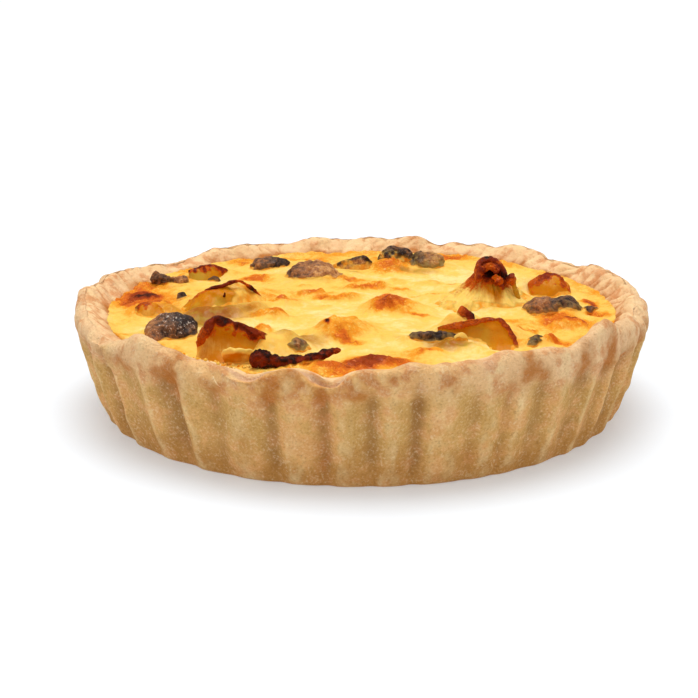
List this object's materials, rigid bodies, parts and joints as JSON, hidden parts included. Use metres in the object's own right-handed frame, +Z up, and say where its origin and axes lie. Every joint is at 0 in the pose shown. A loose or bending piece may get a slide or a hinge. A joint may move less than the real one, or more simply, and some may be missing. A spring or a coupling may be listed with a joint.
{
  "type": "mushroom and cheese tart",
  "caption": "Round savoury tart: a fluted shortcrust case with an uneven rim, filled with browned cheese custard, mushroom pieces and curled onion layers.",
  "frame": {"origin": "middle of the flat underside of the pastry case", "axes": "+Z up; -Y is the side that faces the picture's camera and +X is to its right"},
  "size_m": [0.1277, 0.1276, 0.0325],
  "materials": {
    "crust": "baked shortcrust, dry and fine-grained",
    "cheese": "set cheese custard, satin, browned on its high places",
    "mushroom": "cooked mushroom, damp and granular",
    "onion": "soft amber onion, glossy with burnt lips",
    "burnt_onion": "dark burnt edges, rough"
  },
  "bodies": {
    "root": {"pastry_case": "crust", "cheese_filling": "cheese", "mushroom_chunk_left": "mushroom", "mushroom_cap_back": "mushroom", "mushroom_cap_back_left": "mushroom", "mushroom_cap_right": "mushroom", "mushroom_lump_far": "mushroom", "mushroom_slice_front": "mushroom", "mushroom_slice_back": "mushroom", "mushroom_slice_far": "mushroom", "mushroom_strip_left": "mushroom", "mushroom_tail_right": "mushroom", "mushroom_bit_sunk": "mushroom", "mushroom_bit_rim": "mushroom", "mushroom_bit_left": "mushroom", "mushroom_bit_back_left": "mushroom", "onion_petal_front_left": "onion", "onion_petal_left": "onion", "onion_petal_front_right": "onion", "onion_petal_right": "onion", "onion_tip_front_right": "onion", "onion_band_back_left": "onion", "onion_scrap_left": "onion", "onion_folds_tall": "onion", "onion_hood_tall": "burnt_onion", "burnt_strip_front": "burnt_onion", "burnt_curl_tall": "burnt_onion"}
  },
  "joints": []
}
